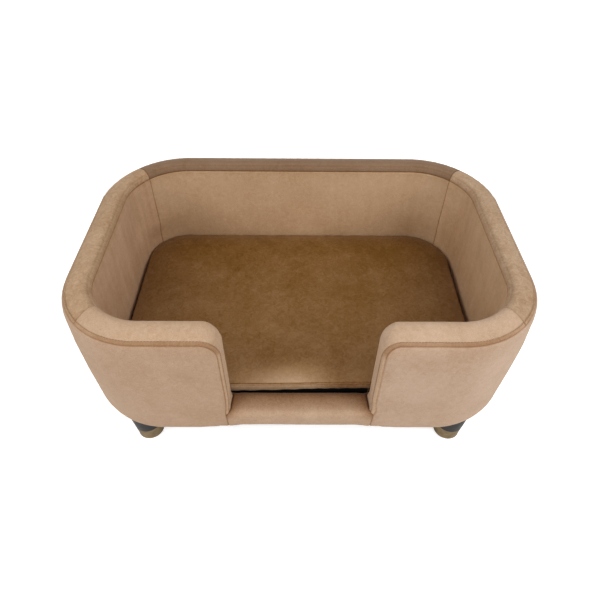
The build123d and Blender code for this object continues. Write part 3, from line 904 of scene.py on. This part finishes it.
def stitched(name, line, lift, material):
    """A row of raised stitches along a line, each a short bowed thread."""
    spots, at = resampled(line, STITCH_PITCH)
    along = np.diff(spots, axis=0)
    along /= np.linalg.norm(along, axis=1, keepdims=True)
    half_way, heading = (at[1:] + at[:-1]) / 2, lengths(line)
    up = np.stack([np.interp(half_way, heading, lift[:, k]) for k in range(3)], axis=-1)
    up -= along * np.sum(up * along, axis=1, keepdims=True)
    up /= np.linalg.norm(up, axis=1, keepdims=True)
    share = np.linspace(0, 1, STITCH_RINGS)[:, None]
    bow = np.sin(math.pi * share)
    centre = (spots[1:] + spots[:-1])[:, None] / 2
    centre = centre + along[:, None] * (share - 0.5) * STITCH_LENGTH
    centre = centre + up[:, None] * (STITCH_BOW * bow - STITCH_SINK)
    turn = np.linspace(0, 2 * math.pi, STITCH_SIDES, endpoint=False)[:, None]
    out = np.cos(turn) * up[:, None] + np.sin(turn) * np.cross(along, up)[:, None]
    radius = STITCH_RADIUS * (0.45 + 0.55 * bow[:, None])
    vertices = centre[:, :, None] + radius * out[:, None]
    faces = []
    for k in range(len(along)):
        faces += tube_faces(k * STITCH_RINGS * STITCH_SIDES, STITCH_RINGS, STITCH_SIDES)
    made = mesh_object(name, vertices.reshape(-1, 3), faces, 80)
    made.data.materials.append(material)
    return made


def lathed(name, profile, x, y, sides=72):
    """A turned piece from radius and height pairs, closed at both ends."""
    turn = 2 * math.pi * np.arange(sides) / sides
    radius, z = np.array(profile).T[:, :, None]
    rings = np.stack([x + radius * np.cos(turn), y + radius * np.sin(turn), z + turn * 0], axis=-1)
    return mesh_object(name, rings.reshape(-1, 3), tube_faces(0, len(profile), sides), 35)


def outward_of(name, grid):
    """Rough outward direction of a sewn piece at its middle."""
    side = -1.0 if name.endswith("left") else 1.0
    if name.startswith("band_front"):
        middle = grid[grid.shape[0] // 2, grid.shape[1] // 2]
        return np.array((0, 0, 1.0) if middle[2] > HEIGHT - RIM else (-side, 0, 0))
    if name.startswith(("band", "sill")):
        return np.array((0, 0, 1.0))
    sign = 1.0 if name.startswith("outer") else -1.0
    return np.array((0, sign, 0) if name.endswith("back") else (sign * side, 0, 0))


def build_cover(found, colours):
    """All the sewn velvet of the wall, with the padding under it."""
    seams = seam_lines(found)
    bands = [grid for name, grid in found.items() if name.startswith("band")]
    rims = {"outer": [grid[:, 0] for grid in bands], "inner": [grid[:, -1] for grid in bands]}
    stitches = stitch_lines(found)
    columns = {
        "outer": np.argmin(np.abs(BAND_SHARES * BAND_WIDTH - OUTER_STITCH)),
        "inner": np.argmin(np.abs((1 - BAND_SHARES) * BAND_WIDTH - INNER_STITCH)),
    }
    under = {"sill_panel": ["sill_foam"]}
    for part in ("back", "left", "right"):
        under["outer_panel_" + part] = ["wadding_" + part]
        under["inner_panel_" + part] = ["inner_foam_" + part]
        under["band_" + part] = ["rim_foam_" + part]
    for name, grid in found.items():
        outward = outward_of(name, grid)
        near = stitches.get(name, {})
        rim = rims["outer" if name.startswith("outer") else "inner"]
        made = shaped(name, grid, outward, seams, rim, near)
        made.data.materials.append(colours[name])
        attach(made, "bed")
        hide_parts(name, *under.get(name, []))
        normal = grid_normals(grid, outward)
        for label, line in near.items():
            lift = normal[:, columns[label]]
            row = stitched(f"topstitch_{label}_{name}", line, lift, colours["thread"])
            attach(row, "bed")


def cushion_frame():
    """Left, right, front and back side of the cushion's outline."""
    low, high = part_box("cushion_boxing")
    return low.x, high.x - RIGHT_SLACK, low.y, high.y


def cushion_distance(x, y):
    """Signed distance of points from the cushion's outline, positive outside."""
    left, right, front, back = cushion_frame()
    radius = np.where(y < 0, CUSHION_FRONT, np.where(x < 0, CUSHION_BACK_LEFT, CUSHION_BACK_RIGHT))
    qx = np.where(x < 0, left - x, x - right) + radius
    qy = np.where(y < 0, front - y, y - back) + radius
    outside = np.hypot(np.maximum(qx, 0), np.maximum(qy, 0))
    return outside + np.minimum(np.maximum(qx, qy), 0) - radius


def cushion_rows():
    """Places of the front and the back outline, column by column from left to right."""
    left, right, front, back = cushion_frame()
    sides = (
        (front, -1, CUSHION_FRONT, CUSHION_FRONT),
        (back, 1, CUSHION_BACK_LEFT, CUSHION_BACK_RIGHT),
    )
    longest = right - left - min(side[2] + side[3] for side in sides)
    count = len(places(longest, CUSHION_STEP, False, False))
    turns = np.linspace(0, QUARTER, CORNER_PLACES)
    rows = []
    for y, face, near, far in sides:
        row = [(left + near, y - face * near, near, face * (math.pi - turn)) for turn in turns]
        for x in np.linspace(left + near, right - far, count)[1:-1]:
            row.append((x, y, 0.0, face * QUARTER))
        row += [(right - far, y - face * far, far, face * turn) for turn in turns[::-1]]
        rows.append(row)
    return rows


def cushion_ring(inset, rows, shares):
    """One closed ring of the cushion, moved in: front, right side, back and left side."""
    ahead, behind = (
        np.array([(x + (radius - inset) * math.cos(turn), y + (radius - inset) * math.sin(turn))
                  for x, y, radius, turn in row]) for row in rows
    )
    side = shares[1:-1, None]
    right = ahead[-1] + (behind[-1] - ahead[-1]) * side
    left = behind[0] + (ahead[0] - behind[0]) * side
    return np.concatenate([ahead, right, behind[::-1], left])


def cushion_profile(seam, crown, bottom):
    """Inset of each ring from the top's field down to the base, with its level or its share."""
    top = []
    for share in np.linspace(0, 1, 16) ** 1.7:
        inset = 0.0022 + share * (FIELD_REACH - 0.0022)
        rise = 1.0 if share == 1 else 1 - (1 - inset / 0.06) ** 2
        top.append((inset, seam + 0.0006 + crown * rise, None))
    side = []
    for share in BOXING_SHARES[::-1]:
        side.append((0.0012 - 0.0012 * math.sin(math.pi * share), None, share))
    for share in (0.9, 0.6, 0.3, 0.08):
        side.append((0.0014 + 0.006 * (1 - share) ** 2, None, share - 1))
    base = [(inset, bottom, None) for inset in (0.010, 0.018, 0.03, FIELD_REACH)]
    return top[::-1] + side + base, len(top)


def cushion_mesh():
    """The closed cushion as rings round a field on top and one below, with the line of each seam."""
    rows = cushion_rows()
    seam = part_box("cushion_top")[0].z
    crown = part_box("cushion_top")[1].z - seam
    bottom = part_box("cushion_underside")[0].z
    shares = np.linspace(0, 1, FIELD_STEPS + 1)
    x, y = cushion_ring(0, rows, shares).T
    # Along the front the black base reaches higher, also standing in for the shade of the gap under
    # the boxing.
    split = SPLIT_FRONT + np.interp(x, (-0.09, -0.04, 0.02, 0.1), (-0.001, 0.0003, 0.003, 0.0033))
    low_split = bottom + SPLIT_BACK
    split = low_split + (split - low_split) * smooth((-y - 0.12) / 0.06)
    profile, seam_ring = cushion_profile(seam, crown, bottom)
    split_ring = seam_ring + len(BOXING_SHARES) - 1
    rings = []
    for inset, z, share in profile:
        if z is not None:
            level = x * 0 + z
        elif share >= 0:
            level = split + (seam - split) * share
        else:
            level = bottom + (split - bottom) * (share + 1)
        rings.append(np.column_stack([cushion_ring(inset, rows, shares), level]))
    count, spans = len(x), len(rings) - 1
    faces = [quads_of(closed_rings(0, len(rings), count))]
    marks = [0] * seam_ring + [1] * (split_ring - seam_ring) + [2] * (spans - split_ring)
    marks = np.repeat(marks, count)
    vertices = np.concatenate(rings)
    for first in (0, spans * count):
        inner, quads = field(first, len(rows[0]), vertices, shares)
        vertices = np.concatenate([vertices, inner])
        faces.append(quads if first == 0 else quads[:, ::-1])
        marks = np.concatenate([marks, np.full(len(quads), 0 if first == 0 else 2)])
    made = mesh_object("cushion", vertices, np.concatenate(faces), 70)
    lines = [rings[seam_ring], rings[split_ring]]
    return made, marks, [np.concatenate([line, line[:1]]) for line in lines]


def active_mesh(obj):
    """Replaces an object's mesh by what its modifiers make of it."""
    graph = bpy.context.evaluated_depsgraph_get()
    mesh = bpy.data.meshes.new_from_object(obj.evaluated_get(graph), depsgraph=graph)
    obj.modifiers.clear()
    obj.data = mesh


def points_of(obj):
    """An object's points as an array."""
    flat = np.zeros(len(obj.data.vertices) * 3)
    obj.data.vertices.foreach_get("co", flat)
    return flat.reshape(-1, 3)


def field(first, columns, vertices, shares):
    """Points and faces that fill a ring of the cushion, from the number of its first point."""
    steps = FIELD_STEPS
    index = np.zeros((columns, steps + 1), int)
    index[:, 0] = first + np.arange(columns)
    index[-1, 1:-1] = first + columns + np.arange(steps - 1)
    index[:, -1] = first + columns + steps - 1 + np.arange(columns)[::-1]
    index[0, 1:-1] = (first + 2 * columns + steps - 1 + np.arange(steps - 1))[::-1]
    ahead, behind = vertices[index[1:-1, 0], None], vertices[index[1:-1, -1], None]
    inner = (ahead + (behind - ahead) * shares[1:-1, None]).reshape(-1, 3)
    index[1:-1, 1:-1] = len(vertices) + np.arange(len(inner)).reshape(columns - 2, steps - 1)
    return inner, quads_of(index)


def swelling(obj):
    """How each point moves when the form fills out: cloth under pressure on a remeshed copy."""
    points = points_of(obj)
    copy = linked("filling", obj.data.copy())
    remesh = copy.modifiers.new("remesh", "REMESH")
    remesh.mode = "VOXEL"
    remesh.voxel_size = VOXEL
    active_mesh(copy)
    start = points_of(copy)
    cloth = copy.modifiers.new("cloth", "CLOTH")
    for setting, value in CLOTH.items():
        setattr(cloth.settings, setting, value)
    cloth.settings.effector_weights.gravity = 0.0
    cloth.point_cache.frame_start = 1
    cloth.point_cache.frame_end = CLOTH_FRAMES
    for step in range(1, CLOTH_FRAMES + 1):
        bpy.context.scene.frame_set(step)
    active_mesh(copy)
    bpy.context.scene.frame_set(1)
    moved = points_of(copy) - start
    bpy.data.objects.remove(copy)
    reach = np.linalg.norm(moved, axis=1, keepdims=True)
    moved *= np.minimum(1.0, MOST_SWELL / np.maximum(reach, 1e-9))
    tree = search_tree(start)
    found = []
    for point in points.tolist():
        near = tree.find_n(point, 6)
        weight = np.array([1 / (hit[2] + 0.002) for hit in near])
        found.append(weight @ moved[[hit[1] for hit in near]] / weight.sum())
    return np.array(found)


def cushion_shade(points, distance, second, seam, front):
    """Tone of the cushion's velvet: painted shade in the seams, painted sheen on the front edge,
    painted shade towards the back, and the boxing darker towards the right front.
    """
    x, y, z = points.T
    # Painted sheen along the front edge of the top, painted shade in the seam grooves.
    front_edge = smooth((front + 0.048 - y) / 0.056) * (z > seam + 0.0002)
    shade = (1 + np.interp(x, GLEAM_AT, GLEAM) * front_edge) * (1 - 0.62 * peak(distance, 0.0012))
    shade -= 0.40 * second
    at_front = (z < seam - 0.001) * smooth((-y - 0.10) / 0.05)
    shade *= 1 - at_front * np.interp(x, (0.02, 0.055), (0.0, 0.45))
    # The top: painted shade towards the back, lighter towards the sides midway.
    at_sides = 0.07 * smooth((np.abs(x) - 0.10) / 0.12) * peak(y - 0.01, 0.08)
    return shade + (z > seam) * (np.interp(y, TOP_TONE_AT, TOP_TONE) + at_sides)


def build_cushion(colours):
    """The boxed cushion: top, boxing with the zip's opening in it, and a dark turned-up base, which
    along the front also stands in for the shade of the gap under the boxing.
    """
    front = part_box("cushion_boxing")[0].y
    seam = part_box("cushion_top")[0].z
    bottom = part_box("cushion_underside")[0].z
    made, marks, lines = cushion_mesh()
    mesh = made.data
    points = points_of(made)
    x, y, z = points.T
    swell = swelling(made)
    swell[:, 2] = np.where(z > seam, np.maximum(swell[:, 2], 0) * 0.8, 0)
    swell[:, :2] = np.clip(swell[:, :2], -0.0006, 0.0006)
    normals = np.zeros(len(points) * 3)
    mesh.vertices.foreach_get("normal", normals)
    distance, along = nearest(points, lines)
    pull = -0.0010 * peak(distance, 0.0014)
    pull += 0.0004 * np.exp(-distance / 0.010) * np.sin(along * 230 + 2 * np.sin(along * 31))
    inner = np.minimum(1, np.maximum(0, -cushion_distance(x, y)) / 0.03)
    pull += (0.0009 * wobble(points, 11.0, 11) + 0.0003 * wobble(points, 45.0, 13)) * inner
    second = peak(np.abs(seam - z - SECOND_SEAM), GROOVE) * ((z < seam) & (z > bottom + 0.006))
    pull -= 0.0007 * second
    slot = smooth((0.182 - np.abs(x)) / 0.003) * (y > 0.15) * (np.abs(z - ZIP_Z) < 0.0079)
    moved = points + normals.reshape(-1, 3) * pull[:, None] + swell
    moved[:, 1] -= 0.0072 * slot
    lift = (0.0024 + 0.0042 * smooth((x + 0.10) / 0.22)) * smooth((-y - 0.01) / 0.15)
    moved[:, 2] += lift * smooth((z - bottom + 0.02) / 0.04)
    mesh.vertices.foreach_set("co", moved.ravel())
    mesh.update()
    set_shade(made, cushion_shade(points, distance, second, seam, front))
    for key in ("cushion_top", "cushion_boxing", "cushion_underside"):
        mesh.materials.append(colours[key])
    mesh.polygons.foreach_set("material_index", marks)
    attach(made, "cushion")
    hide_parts("cushion_foam", "cushion_top", "cushion_boxing", "cushion_underside")


def leg_profile(wide, foot, top, joint):
    """Radius and height pairs of a leg, from the socket of its tip up to the bed."""
    slope = (wide - foot) / (top - joint)
    return [
        (foot - 0.0022, joint - 0.004), (foot - 0.0018, joint), (foot - 0.0004, joint + 0.0003),
        (foot + slope * EASE, joint + EASE), (wide - slope * EASE, top - EASE),
        (wide - EASE, top),
    ]


def tip_profile(foot, joint, ground):
    """Radius and height pairs of a tip with a rolled lower edge, up to the leg and back inside."""
    return [
        (TIP_FOOT - 0.004, ground + 0.0006), (TIP_FOOT - 0.0012, ground),
        (TIP_FOOT + TIP_ROLL * 0.2, ground + TIP_ROLL * 0.3),
        (TIP_FOOT + TIP_ROLL * 0.55, ground + TIP_ROLL),
        (TIP_FOOT + TIP_ROLL * 0.3, ground + TIP_ROLL * 1.8),
        (TIP_FOOT + 0.00025, ground + TIP_ROLL * 2.1),
        (foot - 0.00005, joint - 0.0006), (foot - 0.0003, joint - 0.0001),
        (foot - 0.0009, joint), (foot - 0.0013, joint - 0.0004),
        (TIP_FOOT - 0.003, ground + 0.004),
    ]


def build_legs(colours):
    """Turned legs with eased edges and rolled brass tips."""
    for name in ("front_left", "front_right", "back_left", "back_right"):
        low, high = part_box("leg_" + name)
        tip_low, tip_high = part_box("leg_tip_" + name)
        x, y = (low.x + high.x) / 2, (low.y + high.y) / 2
        wide = (high.x - low.x) / 2
        foot = (tip_high.x - tip_low.x) / 2
        for piece, node, colour, slot, profile in (
            ("turned_leg_", "leg_", "leg", "leg_finish",
             leg_profile(wide, foot, high.z, tip_high.z)),
            ("brass_tip_", "leg_tip_", "brass", "antique_brass",
             tip_profile(foot, tip_high.z, tip_low.z)),
        ):
            made = lathed(piece + name, profile, x, y)
            made.data.materials.append(colours[colour])
            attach(made, "bed")
            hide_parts(node + name)


def dress_frame(colours):
    """Gives every carried-over node its own finish."""
    finishes = {
        "plywood": "base_board", "timber": ("wall_posts", "sill_rail", "top_rail"),
        "hardboard": ("outer_skin", "inner_skin"), "felt": "glide", "tape": "zip_tapes",
        "steel": ("frame_screws", "leg_bolts", "leg_nuts", "staples"), "nylon": "zip_teeth",
        "lining": ("floor_lining", "dust_cover"), "zip_metal": ("zip_slider", "zip_pull"),
    }
    for finish, starts in finishes.items():
        for name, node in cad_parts.items():
            if name.startswith(starts):
                node.data.materials.clear()
                node.data.materials.append(colours[finish])


def light_world():
    """A world that is white to the camera and in reflections, and lights the object faintly."""
    world = bpy.data.worlds.new("room")
    bpy.context.scene.world = world
    world.use_nodes = True
    tree = world.node_tree
    tree.nodes.clear()
    path = add(tree, "ShaderNodeLightPath").outputs
    seen = calc(tree, path["Is Camera Ray"], path["Is Glossy Ray"], "MAXIMUM")
    seen = calc(tree, seen, path["Is Transmission Ray"], "MAXIMUM")
    strength = ranged(tree, seen, 0.15, 1.0, 0.0, 1.0)
    white = {"Color": (1.0, 1.0, 1.0, 1.0), "Strength": strength}
    background = add(tree, "ShaderNodeBackground", white)
    output = add(tree, "ShaderNodeOutputWorld")
    tree.links.new(background.outputs[0], output.inputs["Surface"])


def light_room():
    """Four soft lamps, by place, size and power."""
    for name, spot, size, power in (
        ("left", (-1.5, -0.9, 1.7), 1.5, 25.0), ("right", (1.5, -0.9, 1.7), 1.5, 28.5),
        ("front", (0.0, -2.6, 1.2), 1.8, 13.5), ("back", (0.0, 2.4, 1.0), 1.6, 14.0),
    ):
        data = bpy.data.lights.new(name, "AREA")
        data.size = size
        data.energy = power
        lamp = linked(name, data)
        lamp.location = spot
        aim = Vector((0, 0, 0.1)) - Vector(spot)
        lamp.rotation_euler = aim.to_track_quat("-Z", "Y").to_euler()


def lay_floor():
    """A pale floor that keeps the bed's shadow and turns white further out."""
    half = 6.0
    corners = [(-half, -half, 0), (half, -half, 0), (half, half, 0), (-half, half, 0)]
    floor = mesh_object("floor", corners, [[0, 1, 2, 3]])
    material, tree, shader = new_material("pale_floor")
    shader.inputs["Base Color"].default_value = (0.86, 0.86, 0.86, 1.0)
    shader.inputs["Roughness"].default_value = 0.9
    shader.inputs["Emission Color"].default_value = (1.0, 1.0, 1.0, 1.0)
    camera_ray = add(tree, "ShaderNodeLightPath").outputs["Is Camera Ray"]
    far = add(tree, "ShaderNodeVectorMath", {0: object_place(tree)}, operation="LENGTH")
    glow = ranged(tree, far.outputs["Value"], 0.66, 1.1, 0.5, 1.8)
    glow = calc(tree, camera_ray, glow, "MULTIPLY")
    tree.links.new(glow, shader.inputs["Emission Strength"])
    floor.data.materials.append(material)


def place_camera():
    """Camera of the photograph: in front, looking down by 47 degrees."""
    data = bpy.data.cameras.new("camera")
    data.lens = 29.57
    data.sensor_width = 36.0
    data.clip_start = 0.01
    camera = linked("camera", data)
    camera.location = (-0.0061, -0.6229, 0.7971)
    heading, tilt, roll = (
        Matrix.Rotation(math.radians(angle), 3, axis)
        for angle, axis in ((-0.66, "Z"), (42.92, "X"), (0.7, "Z"))
    )
    camera.rotation_euler = (heading @ tilt @ roll).to_euler()
    bpy.context.scene.camera = camera


def palette():
    """Every material by the piece or finish that wears it."""
    colours = {
        "leg": lacquer("charcoal_lacquer", (30, 30, 31)),
        "brass": metal("antique_brass", (158, 138, 106)),
        "plywood": wood("birch_plywood", (205, 176, 135), stretch=(0.15, 1.0, 6.0)),
        "timber": wood("pine", (214, 182, 130)),
        "hardboard": wood("hardboard", (120, 84, 54), ring=200.0, stretch=(1.0, 1.0, 1.0)),
        "steel": metal("zinc_steel", (190, 190, 195)),
        "lining": plain_cloth("black_lining", (24, 24, 25)),
        "felt": plain_cloth("felt", (60, 58, 56), 0.0015),
        "tape": plain_cloth("zip_tape", (96, 70, 46), 0.0005),
        "nylon": plain_cloth("zip_nylon", (88, 64, 42), 0.0012),
        "zip_metal": metal("zip_metal", (150, 128, 96)),
        "thread": plain_cloth("thread", (150, 120, 90), 0.0003),
        # The boxing's velvet on top: its darker, richer tone is painted shade, as velvet seen
        # face-on looks dark.
        "cushion_top": velvet(
            "cushion_velvet", (135, 98, 58), 0.12, 0.21, 1.2, (1.0, 1.4, 3.8), (1.0, 1.33, 2.0),
        ),
        "cushion_boxing": velvet("boxing_velvet", (186, 153, 118)),
        # Near-black, so that where it turns up at the front it also reads as the shade of the gap.
        "cushion_underside": plain_cloth("cushion_base_cloth", (15, 14, 13)),
    }
    # One velvet throughout: each piece's tone is partly its pile direction and partly painted light
    # and shade, darkest on the back band.
    nap_and_light_tones = {
        "outer_panel_back": (184, 154, 127), "outer_panel_left": (184, 153, 126),
        "outer_panel_right": (192, 162, 137), "inner_panel_back": (199, 166, 131),
        "inner_panel_left": (196, 162, 130), "inner_panel_right": (201, 167, 131),
        "band_back": (142, 113, 88), "band_left": (186, 153, 120), "band_right": (188, 157, 127),
        "band_front_left": (200, 168, 138), "band_front_right": (202, 171, 143),
        "sill_panel": (190, 159, 132),
    }
    for name, tone in nap_and_light_tones.items():
        patch, fleck = (0.08, 0.17) if name in ("band_left", "band_right") else (0.06, 0.075)
        colours[name] = velvet("velvet_" + name, tone, patch, fleck, 1.2)
    return colours


bpy.context.scene.view_settings.view_transform = "Standard"
place_camera()
light_world()
light_room()
lay_floor()
colours = palette()
build_cover(grids(), colours)
build_cushion(colours)
build_legs(colours)
dress_frame(colours)
